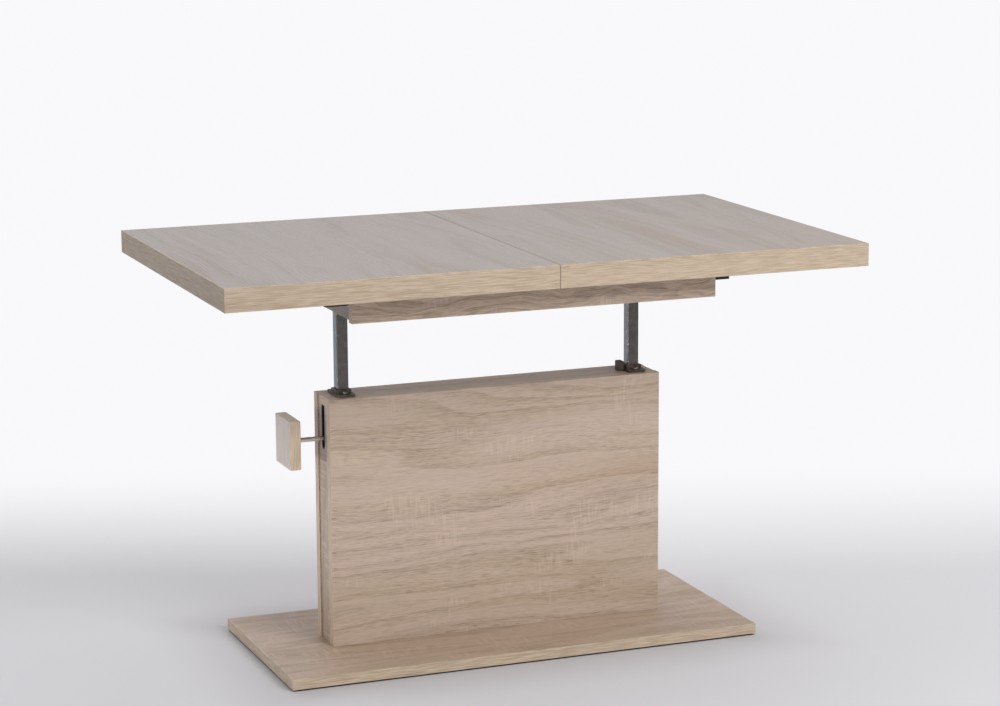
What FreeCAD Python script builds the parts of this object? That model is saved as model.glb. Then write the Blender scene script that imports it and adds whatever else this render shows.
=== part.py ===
"""Convertible coffee and dining table: lift column, gas spring, split top on tracks and a folded leaf.

Millimetres. The origin is on the floor under the middle of the table, with +X along the top, +Y to the back
and +Z up.
The table is drawn raised, with the two halves of the top closed and the release handle down.
"""
import FreeCAD
import Part
import Sketcher
import os
import re

# Driving dimensions
SIZES = {
    # Top, in two halves that meet at a seam
    "top_length": 1100, "top_width": 630, "top_thick": 38, "table_height": 690,
    "seam_gap": 0.3, "band_thick": 2, "band_round": 1,
    "dowel_dia": 10, "dowel_length": 40, "dowel_spacing": 200, "dowel_play": 0.5,
    # Travels
    "lift_travel": 150, "half_travel": 200,
    # Foot
    "base_length": 830, "base_depth": 375, "base_thick": 18,
    "glide_height": 2.5, "glide_dia": 34, "glide_inset": 42,
    "bolt_dia": 6, "bolt_head_dia": 12, "bolt_head_depth": 3.5, "bolt_length": 36, "bolt_pitch": 80,
    # Column
    "column_length": 595, "panel_thick": 18, "panel_round": 0.8,
    "end_thick": 12, "end_recess": 2, "top_rail_thick": 16,
    "bottom_rail_height": 22, "foot_space": 84,
    "slot_width": 16, "slot_drop": 19, "liner_wall": 2,
    # Lift tubes and their guides
    "tube_side": 20, "tube_wall": 1.5, "tube_round": 2.2, "tube_inset": 20.5, "tube_length": 413.5,
    "run_gap": 0.3, "bush_wall": 3, "bush_flange_x": 32, "bush_flange_thick": 4,
    "bush_flange_round": 6, "bush_neck": 6, "bush_screw_dia": 4, "bush_screw_head": 8,
    "bush_screw_length": 14, "bush_screw_inset": 3.5, "bush_screw_edge": 10, "seat_gap": 0.1,
    "lower_guide_rise": 4, "lower_guide_height": 22, "lower_guide_length": 40,
    "buffer_height": 17, "buffer_x": 11, "buffer_y": 16, "buffer_round": 2, "landing_gap": 0.5,
    # Lift frame
    "head_bar_drop": 42.5, "head_bar_width": 56, "head_bar_thick": 6, "head_bar_gap": 0.5, "tab_height": 7,
    "tab_screw_dia": 4, "tab_screw_head": 6, "tab_screw_head_height": 2, "tab_screw_length": 18,
    "tab_screw_pitch": 36, "crossbar_headroom": 16, "crossbar_height": 30, "crossbar_thick": 6,
    "crossbar_bolt_pitch": 16, "crossbar_bolt_reach": 11, "hex_head_height": 4, "hex_head_dia": 10,
    # Apron under the top
    "apron_thick": 17, "apron_height": 48.8, "apron_gap": 1.2, "apron_end_inset": 7.5, "notch_gap": 1,
    # Tracks and runners of the two halves
    "track_drop": 28, "track_height": 14, "track_inset": 5, "track_wall": 1.5, "track_sole": 2,
    "groove_width": 10, "groove_height": 8.5, "groove_pitch": 13, "slot_throat": 4, "throat_gap": 0.4,
    "runner_reach": 34, "runner_inner": 150, "flange_thick": 3, "flange_reach": 9, "flange_start": 24,
    "flange_inset": 14, "runner_screw_dia": 4, "runner_screw_head": 6, "runner_screw_head_height": 2,
    "runner_screw_grip": 12, "runner_screw_offset": 5.2, "runner_screw_margin": 36,
    # Folded leaf
    "leaf_thick": 16, "leaf_gap": 0.5, "leaf_headroom": 3, "leaf_room": 47.5,
    "leaf_bar_spacing": 240, "leaf_bar_width": 30, "leaf_bar_thick": 6,
    "hinge_length": 50, "hinge_plate": 1.5, "hinge_knuckle": 6,
    "hinge_spacing": 240, "hinge_height": 24,
    # Gas spring
    "gas_side_gap": 0.5, "gas_wall": 1.5, "gas_rod_dia": 8, "gas_gland": 8, "gas_cap": 6,
    "gas_piston_height": 5, "gas_end_play": 3, "fit_gap": 0.05, "eye_thick": 8, "eye_width": 16,
    "spring_pin_dia": 8, "eye_rise": 9, "eye_mount": 26,
    "foot_plate_x": 50, "foot_plate_y": 40, "foot_plate_thick": 3, "ear_thick": 3, "ear_width": 24,
    "ear_gap": 26, "foot_pin_rise": 21.5, "foot_ear_rise": 35.5, "head_width": 25, "head_rise": 9.5,
    "head_height": 36, "rod_seat_depth": 14, "cable_stop_x": 30, "cable_stop_thick": 3,
    "cable_stop_height": 20, "ear_side_gap": 0.3,
    "bracket_width": 24, "bracket_gap": 0.5, "bracket_ear": 5, "bracket_web": 3, "bracket_headroom": 2,
    # Release handle
    "handle_drop": 72, "handle_x": 19, "handle_y": 80, "handle_height": 82, "handle_reach": 49.5,
    "handle_round": 1.5, "rod_dia": 8, "rod_seat": 12, "pivot_inset": 63, "pivot_dia": 6, "pivot_collar": 2,
    "prong_thick": 4, "prong_height": 10, "prong_gap": 2, "prong_tail": 7,
    "yoke_thick": 4, "yoke_height": 16, "yoke_gap": 1.5, "yoke_front": 6,
    "cable_arm": 32, "cable_room": 7.5, "cable_step": 3.3, "cable_tab_x": 10, "cable_tab_thick": 3,
    "cable_tab_gap": 0.7, "wire_dia": 2, "wire_hole": 5, "wire_reach": 39, "wire_gap": 0.3,
    "nipple_dia": 5, "nipple_length": 5.6, "nipple_gap": 0.5,
    "anchor_drop": 31, "anchor_height": 6, "anchor_x": 12,
    "sheath_dia": 5, "sheath_bore": 3, "sheath_rise": 33.5, "sheath_bend": 90,
    "clip_length": 12, "clip_wall": 2.5, "stop_dia": 8, "stop_arm": 22,
}

# Screws that hold one runner
RUNNER_SCREWS = 3

# Places worked out from the driving dimensions
PLACES = {
    "base_top": "glide_height + base_thick",
    "top_under": "table_height - top_thick",
    "column_inner": "tube_side / 2 + prong_gap + prong_thick + cable_room",
    "column_depth": "2 * (column_inner + panel_thick)",
    "end_outer": "column_length / 2 - end_recess",
    "end_inner": "end_outer - end_thick",
    "rail_floor": "column_top - top_rail_thick",
    "tube_x": "end_inner - tube_inset",
    "tube_end": "head_bar_floor - tube_length",
    "lower_guide_floor": "tube_end + lower_guide_rise",
    "bush_hole": "tube_side + 2 * run_gap",
    "bush_outer": "bush_hole + 2 * bush_wall",
    "bush_top": "column_top + bush_flange_thick",
    "bush_screw_pitch": "2 * (column_inner - bush_screw_inset)",
    "bush_flange_y": "bush_screw_pitch + 2 * bush_screw_edge",
    "head_bar_floor": "top_under - head_bar_drop",
    "column_top": "head_bar_floor - lift_travel - landing_gap - buffer_height",
    "apron_inner": "leaf_half + leaf_room",
    "apron_depth": "2 * (apron_inner + apron_thick)",
    "apron_length": "2 * (tube_x + head_bar_width / 2 + head_bar_gap + apron_thick + apron_end_inset)",
    "apron_top": "top_under - apron_gap",
    "apron_bottom": "apron_top - apron_height",
    "apron_end_outer": "apron_length / 2 - apron_end_inset",
    "apron_end_inner": "apron_end_outer - apron_thick",
    "track_floor": "top_under - track_drop",
    "track_length": "apron_length - 2 * track_inset",
    "track_width": "2 * track_wall + groove_width + groove_pitch",
    "outer_groove": "apron_inner - track_wall - groove_width / 2",
    "inner_groove": "outer_groove - groove_pitch",
    "notch_inner": "inner_groove - flange_reach - notch_gap",
    "groove_floor": "track_floor + track_sole",
    "runner_floor": "groove_floor + run_gap",
    "foot_half": "groove_width / 2 - run_gap",
    "foot_top": "groove_floor + groove_height - run_gap",
    "stem_half": "slot_throat / 2 - throat_gap",
    "runner_outer": "apron_length / 2 + runner_reach",
    "flange_end": "runner_outer - flange_inset",
    "runner_screw_first": "flange_start + runner_screw_margin",
    "runner_screw_span": "flange_end - runner_screw_margin - runner_screw_first",
    "leaf_floor": "top_under - leaf_headroom - 2 * leaf_thick - leaf_gap",
    "leaf_bar_floor": "leaf_floor - leaf_bar_thick",
    "leaf_fold": "leaf_floor + leaf_thick + leaf_gap / 2",
    "leaf_half": "top_width / 4",
    "crossbar_floor": "rail_floor - crossbar_headroom - crossbar_height",
    "gas_outer": "tube_side - 2 * gas_side_gap",
    "gas_bore": "gas_outer - 2 * gas_wall",
    "top_eye_z": "crossbar_floor + eye_mount",
    "top_eye_end": "top_eye_z + eye_width / 2",
    "gas_top": "top_eye_z - eye_rise",
    "gas_bore_top": "gas_top - gas_cap",
    "piston_top": "gas_bore_top - gas_end_play - lift_travel",
    "piston_floor": "piston_top - gas_piston_height",
    "gas_bore_floor": "piston_floor - gas_end_play",
    "gas_bottom": "gas_bore_floor - gas_gland",
    "foot_pin_height": "base_top + foot_pin_rise",
    "foot_ear_top": "base_top + foot_ear_rise",
    "head_bottom": "base_top + head_rise",
    "head_top": "head_bottom + head_height",
    "crossbar_back": "tube_side / 2",
    "crossbar_front": "tube_side / 2 + crossbar_thick",
    "prong_front": "tube_side / 2 + prong_gap",
    "prong_back": "prong_front + prong_thick",
    "yoke_outer": "end_inner - yoke_gap",
    "yoke_inner": "yoke_outer - yoke_thick",
    "handle_inner": "column_length / 2 + handle_reach",
    "handle_z": "column_top - handle_drop",
    "slot_floor": "handle_z - slot_drop",
    "pivot_x": "tube_x - pivot_inset",
    "stop_x": "pivot_x + stop_arm",
    "cable_x": "pivot_x + cable_arm",
    "cable_y": "prong_back + cable_step",
    "cable_tab_end": "column_inner - cable_tab_gap",
    "cable_tab_top": "handle_z + cable_tab_thick",
    "nipple_z": "cable_tab_top + nipple_gap + nipple_dia / 2",
    "anchor_top": "handle_z - anchor_drop",
    "anchor_floor": "anchor_top - anchor_height",
    "anchor_front": "prong_back + run_gap",
    "wire_end": "anchor_top - wire_reach",
    "sheath_z": "base_top + sheath_rise",
    "clip_high": "(anchor_floor + sheath_z + sheath_bend) / 2",
    "clip_low_x": "(cable_x - sheath_bend + cable_stop_x) / 2",
}

doc = FreeCAD.newDocument("ConvertibleTable")
sheet = doc.addObject("Spreadsheet::Sheet", "Sizes")
for row, (alias, value) in enumerate(SIZES.items(), start=1):
    sheet.set(f"A{row}", alias)
    sheet.set(f"B{row}", str(value))
    sheet.setAlias(f"B{row}", alias)
doc.recompute()

WORD = re.compile(r"[a-z][a-z_0-9]*")
nodes = []


def bound(formula):
    """Formula over sizes and places, written out as an expression over the sheet's cells."""
    def cell(match):
        word = match.group(0)
        if word in PLACES:
            return f"({bound(PLACES[word])})"
        if word in SIZES:
            return f"Sizes.{word}"
        raise KeyError(word)
    return WORD.sub(cell, formula)


def number(formula):
    """Value of a formula, read from the sheet."""
    return float(sheet.evalExpression(bound(formula)))


def tie(item, **formulas):
    """Bind properties of an object to formulas; a double underscore stands for a dot."""
    for name, formula in formulas.items():
        item.setExpression(name.replace("__", "."), bound(formula))
    return item


def put(item, spot):
    """Bind an object's place to three formulas."""
    return tie(item, Placement__Base__x=spot[0], Placement__Base__y=spot[1], Placement__Base__z=spot[2])


def new(kind, label):
    """Object of the document, labelled with its own name."""
    item = doc.addObject(kind, label)
    item.Label = label
    return item


def box(label, x, y, z):
    """Block between two formulas along each axis."""
    item = put(new("Part::Box", label), (x[0], y[0], z[0]))
    tie(item, Length=f"({x[1]}) - ({x[0]})", Width=f"({y[1]}) - ({y[0]})")
    return tie(item, Height=f"({z[1]}) - ({z[0]})")


TURNS = {"z": FreeCAD.Rotation(), "x": FreeCAD.Rotation(FreeCAD.Vector(0, 1, 0), 90),
         "y": FreeCAD.Rotation(FreeCAD.Vector(1, 0, 0), -90)}


def rod(label, axis, diameter, start, length):
    """Round bar that runs from a start point along +X, +Y or +Z."""
    item = new("Part::Cylinder", label)
    item.Placement = FreeCAD.Placement(FreeCAD.Vector(), TURNS[axis])
    put(item, start)
    return tie(item, Radius=f"({diameter}) / 2", Height=length)


def group(label, items):
    """Several separate solids under one name."""
    item = new("Part::Compound", label)
    item.Links = items
    return item


def joined(label, items):
    """Blocks that are one piece of material."""
    item = new("Part::MultiFuse", label)
    item.Shapes = items
    item.Refine = True
    return item


def cut(label, base, tools):
    """Piece with holes or notches taken out of it; it must lose material at every one."""
    item = new("Part::Cut", label)
    item.Base = base
    item.Tool = tools[0] if len(tools) == 1 else group(f"{label}_tools", tools)
    doc.recompute()
    for tool in tools:
        if base.Shape.common(tool.Shape).Volume <= 0:
            raise ValueError(f"{tool.Label} misses {base.Label}")
    return item


def rounded(label, base, radius, wanted):
    """Piece with the chosen straight edges rounded."""
    doc.recompute()
    item = new("Part::Fillet", label)
    item.Base = base
    size = number(radius)
    item.Edges = [(i, size, size) for i, edge in enumerate(base.Shape.Edges, start=1) if wanted(edge)]
    return item


def along(edge, axis):
    """Whether a straight edge runs along one axis: 0, 1 or 2."""
    ends = edge.Vertexes
    span = ends[-1].Point - ends[0].Point
    return abs(abs(span[axis]) - span.Length) < 1e-6 and span.Length > 0


def profile(label, plane, points):
    """Body with a sketch of straight lines whose corners are bound to formulas."""
    body = new("PartDesign::Body", label)
    sketch = body.newObject("Sketcher::SketchObject", f"{label}_profile")
    origin_plane = [item for item in body.Origin.OriginFeatures if item.Role == plane][0]
    sketch.AttachmentSupport = [(origin_plane, "")]
    sketch.MapMode = "FlatFace"
    corners = [FreeCAD.Vector(number(u), number(v), 0) for u, v in points]
    count = len(points)
    for i in range(count):
        sketch.addGeometry(Part.LineSegment(corners[i], corners[(i + 1) % count]))
    for i in range(count):
        sketch.addConstraint(Sketcher.Constraint("Coincident", i, 2, (i + 1) % count, 1))
    for i, (u, v) in enumerate(points):
        across = sketch.addConstraint(Sketcher.Constraint("DistanceX", -1, 1, i, 1, corners[i].x))
        sketch.setExpression(f"Constraints[{across}]", bound(u))
        up = sketch.addConstraint(Sketcher.Constraint("DistanceY", -1, 1, i, 1, corners[i].y))
        sketch.setExpression(f"Constraints[{up}]", bound(v))
    doc.recompute()
    return body, sketch


def bar(label, points, start, length):
    """Bar of constant section, drawn in the YZ plane and run along +X from a start."""
    body, sketch = profile(label, "YZ_Plane", points)
    pad = body.newObject("PartDesign::Pad", f"{label}_pad")
    pad.Profile = sketch
    tie(pad, Length=length)
    return tie(body, Placement__Base__x=start)


def turned(label, points):
    """Round piece about the Z axis, from half its section as radius and height."""
    body, sketch = profile(label, "XZ_Plane", points)
    turn = body.newObject("PartDesign::Revolution", f"{label}_turn")
    turn.Profile = sketch
    turn.ReferenceAxis = (sketch, ["V_Axis"])
    turn.Angle = 360
    return body


def keep(item):
    """Count an object as a piece of the table."""
    nodes.append(item)
    return item


def edge_bands(label, x, y, z, ends, holes):
    """Four strips glued round a board; the outer long edges are eased, and the chosen ends' corners too."""
    strips = []
    for side, near, far in (("front", y[0], f"{y[0]} + band_thick"),
                            ("back", f"{y[1]} - band_thick", y[1])):
        strip = box(f"{label}_{side}", x, (near, far), z)
        face = number(y[0] if side == "front" else y[1])
        limits = [number(x[0 if end == "low" else 1]) for end in ends]

        def outer(edge, face=face, limits=limits):
            middle = edge.CenterOfMass
            on_face = abs(middle.y - face) < 1e-6
            return on_face and (along(edge, 0) or any(abs(middle.x - limit) < 1e-6 for limit in limits))
        strips.append(rounded(f"{label}_{side}_eased", strip, "band_round", outer))
    for side, near, far in (("low", x[0], f"{x[0]} + band_thick"),
                            ("high", f"{x[1]} - band_thick", x[1])):
        strip = box(f"{label}_{side}", (near, far), (f"{y[0]} + band_thick", f"{y[1]} - band_thick"), z)
        if side in ends:
            face = number(x[0] if side == "low" else x[1])

            def end_edge(edge, face=face):
                return along(edge, 1) and abs(edge.CenterOfMass.x - face) < 1e-6
            strip = rounded(f"{label}_{side}_eased", strip, "band_round", end_edge)
        elif holes:
            strip = cut(f"{label}_{side}_drilled", strip, holes)
        strips.append(strip)
    return keep(group(label, strips))


# Foot: board with glued edges, glides and the bolts that hold the column
base_x = ("-base_length / 2", "base_length / 2")
base_y = ("-base_depth / 2", "base_depth / 2")
base_z = ("glide_height", "base_top")
bolt_spots = [(f"{side} * (foot_space / 2 + end_inner) / 2 + {step} * bolt_pitch", "0")
              for side in (-1, 1) for step in (-1, 0, 1)]
bolt_tools = []
bolts = []
rail_tools = []
for i, (x, y) in enumerate(bolt_spots):
    seat = "glide_height + bolt_head_depth"
    hole = "bolt_dia + 2 * seat_gap"
    bolt_tools.append(rod(f"base_bolt_hole_{i}", "z", hole, (x, y, "glide_height"), "base_thick"))
    bolt_tools.append(rod(f"base_bolt_seat_{i}", "z", "bolt_head_dia + 2 * seat_gap", (x, y, "glide_height"),
                          "bolt_head_depth"))
    rail_tools.append(rod(f"rail_bolt_hole_{i}", "z", hole, (x, y, "base_top"), "bolt_length - base_thick"))
    shank = rod(f"base_bolt_shank_{i}", "z", "bolt_dia", (x, y, seat), "bolt_length - bolt_head_depth")
    head = rod(f"base_bolt_head_{i}", "z", "bolt_head_dia", (x, y, "glide_height"), "bolt_head_depth")
    bolts.append(joined(f"base_bolt_{i}", [shank, head]))
base_core = box("base_core", ("-base_length / 2 + band_thick", "base_length / 2 - band_thick"),
                ("-base_depth / 2 + band_thick", "base_depth / 2 - band_thick"), base_z)
keep(cut("base_board", base_core, bolt_tools))
edge_bands("base_edge_bands", base_x, base_y, base_z, ("low", "high"), [])
keep(group("base_bolts", bolts))
glides = []
for i, side_x in enumerate((-1, 0, 1)):
    for j, side_y in enumerate((-1, 1)):
        spot = (f"{side_x} * (base_length / 2 - glide_inset)",
                f"{side_y} * (base_depth / 2 - glide_inset)", "0")
        glides.append(rod(f"floor_glide_{i}{j}", "z", "glide_dia", spot, "glide_height"))
keep(group("floor_glides", glides))

# Column: two long panels, two narrow ends set back between them, a top rail and two bottom rails
column_x = ("-column_length / 2", "column_length / 2")
column_z = ("base_top", "column_top")
for side, near, far in (("front", "-column_depth / 2", "-column_inner"),
                        ("back", "column_inner", "column_depth / 2")):
    panel = box(f"pedestal_{side}_blank", column_x, (near, far), column_z)
    face = number(near if side == "front" else far)
    label = "pedestal_front_panel" if side == "front" else "pedestal_back_eased"
    eased = rounded(label, panel, "panel_round",
                    lambda edge, face=face: abs(edge.CenterOfMass.y - face) < 1e-6)
    if side == "back":
        hole = rod("pivot_pin_hole", "y", "pivot_dia + 2 * fit_gap",
                   ("-pivot_x", "column_inner", "handle_z"), "panel_thick / 2")
        eased = cut("pedestal_back_panel", eased, [hole])
    keep(eased)
inner_y = ("-column_inner", "column_inner")
left_end = box("pedestal_left_blank", ("-end_outer", "-end_inner"), inner_y, ("base_top", "rail_floor"))


def slot(label, width, x):
    """Upright slot with a round floor, open at the top."""
    floor = "slot_floor + slot_width / 2"
    straight = box(f"{label}_straight", x, (f"-({width}) / 2", f"({width}) / 2"), (floor, "rail_floor"))
    round_floor = rod(f"{label}_floor", "x", width, (x[0], "0", floor), f"({x[1]}) - ({x[0]})")
    return joined(label, [straight, round_floor])


end_x = ("-end_outer", "-end_inner")
keep(cut("pedestal_left_end", left_end, [slot("left_end_slot", "slot_width", end_x)]))
keep(cut("slot_liner", slot("liner_outside", "slot_width", end_x),
         [slot("liner_inside", "slot_width - 2 * liner_wall", end_x)]))
keep(box("pedestal_right_end", ("end_inner", "end_outer"), inner_y, ("base_top", "rail_floor")))
rail_spans = {"left": ("-end_inner", "-foot_space / 2"), "right": ("foot_space / 2", "end_inner")}
rail_blanks = [box(f"bottom_rail_{name}", x, inner_y, ("base_top", "base_top + bottom_rail_height"))
               for name, x in rail_spans.items()]
keep(cut("pedestal_bottom_rails", group("bottom_rail_blanks", rail_blanks), rail_tools))

# Guides of the lift tubes: flanged bushes in the top rail and a second pair lower down
top_rail = box("top_rail_blank", ("-end_outer", "end_outer"), inner_y, ("rail_floor", "column_top"))
rail_tools = []
bush_screws = []
lower_guides = []


def square(label, centre, width, z):
    """Square block about a tube's axis."""
    half = f"({width}) / 2"
    return box(label, (f"{centre} - {half}", f"{centre} + {half}"), (f"-{half}", half), z)


for name, side in (("left", -1), ("right", 1)):
    centre = f"{side} * tube_x"
    bush_z = ("rail_floor", "bush_top + bush_neck")
    sleeve = square(f"{name}_bush_sleeve", centre, "bush_outer", bush_z)
    flange_blank = box(f"{name}_bush_flange_blank",
                       (f"{centre} - bush_flange_x / 2", f"{centre} + bush_flange_x / 2"),
                       ("-bush_flange_y / 2", "bush_flange_y / 2"), ("column_top", "bush_top"))
    flange = rounded(f"{name}_bush_flange", flange_blank, "bush_flange_round", lambda edge: along(edge, 2))
    bush_tools = [square(f"{name}_bush_bore", centre, "bush_hole", bush_z)]
    rail_tools.append(square(f"{name}_rail_hole", centre, "bush_outer + 2 * seat_gap",
                             ("rail_floor", "column_top")))
    for end, way in (("front", -1), ("back", 1)):
        y = f"{way} * bush_screw_pitch / 2"
        tip = "bush_top - bush_screw_length"
        hole = "bush_screw_dia + 2 * seat_gap"
        bush_tools.append(rod(f"{name}_bush_{end}_hole", "z", hole, (centre, y, "column_top"),
                              "bush_flange_thick"))
        rail_tools.append(rod(f"{name}_rail_{end}_hole", "z", hole, (centre, y, tip),
                              "bush_screw_length - bush_flange_thick"))
        shank = rod(f"{name}_bush_{end}_shank", "z", "bush_screw_dia", (centre, y, tip),
                    "bush_screw_length")
        dome = new("Part::Sphere", f"{name}_bush_{end}_dome")
        dome.Angle1 = 0
        tie(put(dome, (centre, y, "bush_top")), Radius="bush_screw_head / 2")
        bush_screws.append(joined(f"{name}_bush_{end}_screw", [shank, dome]))
    keep(cut(f"{name}_guide_bush", joined(f"{name}_bush_blank", [sleeve, flange]), bush_tools))
    near = f"{side} * end_inner"
    far = f"{side} * (end_inner - lower_guide_length)"
    guide_z = ("lower_guide_floor", "lower_guide_floor + lower_guide_height")
    blank = box(f"{name}_lower_guide_blank", (near, far) if side < 0 else (far, near), inner_y, guide_z)
    bore = square(f"{name}_lower_bore", centre, "bush_hole", guide_z)
    lower_guides.append(cut(f"{name}_lower_guide", blank, [bore]))
keep(cut("pedestal_top_rail", top_rail, rail_tools))
keep(group("guide_bush_screws", bush_screws))
keep(group("lower_guides", lower_guides))
buffer_far = "tube_x - bush_flange_x / 2 - run_gap"
buffer_blank = box("rest_buffer_blank", (f"{buffer_far} - buffer_x", buffer_far),
                   ("-buffer_y / 2", "buffer_y / 2"), ("column_top", "column_top + buffer_height"))
keep(rounded("rest_buffer", buffer_blank, "buffer_round",
             lambda edge: along(edge, 2) or edge.CenterOfMass.z > number("column_top + buffer_height / 2")))

# Lift: tubes, crossbar in the column, head bars under the top
bolt_heights = [f"crossbar_floor + crossbar_height / 2 + {way} * crossbar_bolt_pitch / 2"
                for way in (-1, 1)]
crossbar_holes = []
crossbar_bolts = []
for name, side in (("left", -1), ("right", 1)):
    centre = f"{side} * tube_x"
    tube_z = ("tube_end", "head_bar_floor")
    outside = rounded(f"{name}_tube_outside", square(f"{name}_tube_blank", centre, "tube_side", tube_z),
                      "tube_round", lambda edge: along(edge, 2))
    tube_tools = [square(f"{name}_tube_bore", centre, "tube_side - 2 * tube_wall", tube_z)]
    for i, z in enumerate(bolt_heights):
        hole = "bolt_dia + 2 * seat_gap"
        crossbar_holes.append(rod(f"{name}_crossbar_hole_{i}", "y", hole, (centre, "-crossbar_front", z),
                                  "crossbar_thick"))
        tube_tools.append(rod(f"{name}_tube_hole_{i}", "y", hole, (centre, "-crossbar_back", z),
                              "tube_wall"))
        shank = rod(f"{name}_crossbar_shank_{i}", "y", "bolt_dia", (centre, "-crossbar_front", z),
                    "crossbar_bolt_reach")
        head = new("Part::Prism", f"{name}_crossbar_head_{i}")
        head.Polygon = 6
        head.Placement = FreeCAD.Placement(FreeCAD.Vector(), TURNS["y"])
        put(head, (centre, "-crossbar_front - hex_head_height", z))
        tie(head, Circumradius="hex_head_dia / 2", Height="hex_head_height")
        crossbar_bolts.append(joined(f"{name}_crossbar_bolt_{i}", [shank, head]))
    keep(cut(f"{name}_lift_tube", outside, tube_tools))
crossbar_blank = box("crossbar_blank", ("-tube_x - tube_side / 2", "tube_x + tube_side / 2"),
                     ("-crossbar_front", "-crossbar_back"),
                     ("crossbar_floor", "crossbar_floor + crossbar_height"))
keep(cut("lift_crossbar", crossbar_blank, crossbar_holes))
keep(group("crossbar_bolts", crossbar_bolts))


def cross_bar(label, centre, width, floor, thick):
    """Flat bar from one long apron panel to the other, with its ends bent down against them."""
    x = (f"{centre} - ({width}) / 2", f"{centre} + ({width}) / 2")
    flat = box(f"{label}_flat", x, ("-apron_inner", "apron_inner"), (floor, f"{floor} + {thick}"))
    front = box(f"{label}_front_tab", x, ("-apron_inner", f"-apron_inner + {thick}"),
                (f"{floor} - tab_height", floor))
    back = box(f"{label}_back_tab", x, (f"apron_inner - {thick}", "apron_inner"),
               (f"{floor} - tab_height", floor))
    return joined(label, [flat, front, back])


tab_screws = []
apron_holes = {"front": [], "back": []}
for name, side in (("left", -1), ("right", 1)):
    centre = f"{side} * tube_x"
    blank = cross_bar(f"{name}_head_bar_blank", centre, "head_bar_width", "head_bar_floor",
                      "head_bar_thick")
    tab_holes = []
    for end, way in (("front", -1), ("back", 1)):
        for i, step in enumerate((-1, 1)):
            label = f"{name}_{end}_tab_{i}"
            x = f"{centre} + {step} * tab_screw_pitch / 2"
            z = "head_bar_floor - tab_height / 2"
            hole = "tab_screw_dia + 2 * seat_gap"
            tab_inner = "(apron_inner - head_bar_thick)"
            grip = "tab_screw_length - head_bar_thick"
            tab_low = f"-{tab_inner} - head_bar_thick" if way < 0 else tab_inner
            shank_low = f"-{tab_inner} - tab_screw_length" if way < 0 else tab_inner
            panel_low = shank_low if way < 0 else "apron_inner"
            head_low = f"-{tab_inner}" if way < 0 else f"{tab_inner} - tab_screw_head_height"
            tab_holes.append(rod(f"{label}_hole", "y", hole, (x, tab_low, z), "head_bar_thick"))
            apron_holes[end].append(rod(f"{label}_well", "y", hole, (x, panel_low, z), grip))
            shank = rod(f"{label}_shank", "y", "tab_screw_dia", (x, shank_low, z), "tab_screw_length")
            head = rod(f"{label}_head", "y", "tab_screw_head", (x, head_low, z), "tab_screw_head_height")
            tab_screws.append(joined(f"{label}_screw", [shank, head]))
    keep(cut(f"{name}_head_bar", blank, tab_holes))
keep(group("head_bar_screws", tab_screws))

# Apron: two long panels and two ends set in between them, notched for the tracks
apron_z = ("apron_bottom", "apron_top")
for end, near, far in (("front", "-apron_depth / 2", "-apron_inner"),
                       ("back", "apron_inner", "apron_depth / 2")):
    blank = box(f"apron_{end}_blank", ("-apron_length / 2", "apron_length / 2"), (near, far), apron_z)
    face = number(near if end == "front" else far)
    eased = rounded(f"apron_{end}_eased", blank, "panel_round",
                    lambda edge, face=face: abs(edge.CenterOfMass.y - face) < 1e-6)
    keep(cut(f"apron_{end}", eased, apron_holes[end]))
for name, side in (("left", -1), ("right", 1)):
    near = f"{side} * apron_end_inner"
    far = f"{side} * apron_end_outer"
    x = (far, near) if side < 0 else (near, far)
    blank = box(f"apron_{name}_blank", x, ("-apron_inner", "apron_inner"), apron_z)
    notches = [box(f"apron_{name}_notch_{i}", x, y, ("track_floor", "apron_top"))
               for i, y in enumerate((("-apron_inner", "-notch_inner"), ("notch_inner", "apron_inner")))]
    keep(cut(f"apron_{name}_end", blank, notches))

# Tracks and runners: each track has two T-shaped grooves, the outer one for one half's runner, the inner
# one for the other half's. The two sides of the table are each other's half turn, so the halves are alike.


def track(label, way):
    """Track along the inside of a long apron panel; way is -1 in front and 1 at the back."""
    def at(inward, z):
        return f"{way} * (apron_inner - ({inward}))", z

    first = "track_wall + groove_width / 2"
    top = "track_floor + track_height"
    chamber = "groove_floor + groove_height"
    points = [at("0", "track_floor"), at("track_width", "track_floor"), at("track_width", top)]
    for middle in (f"{first} + groove_pitch", first):
        throat = (f"{middle} + slot_throat / 2", f"{middle} - slot_throat / 2")
        wall = (f"{middle} + groove_width / 2", f"{middle} - groove_width / 2")
        points += [at(throat[0], top), at(throat[0], chamber),
                   at(wall[0], chamber), at(wall[0], "groove_floor"),
                   at(wall[1], "groove_floor"), at(wall[1], chamber),
                   at(throat[1], chamber), at(throat[1], top)]
    points.append(at("0", top))
    return bar(label, points, "-track_length / 2", "track_length")


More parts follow.
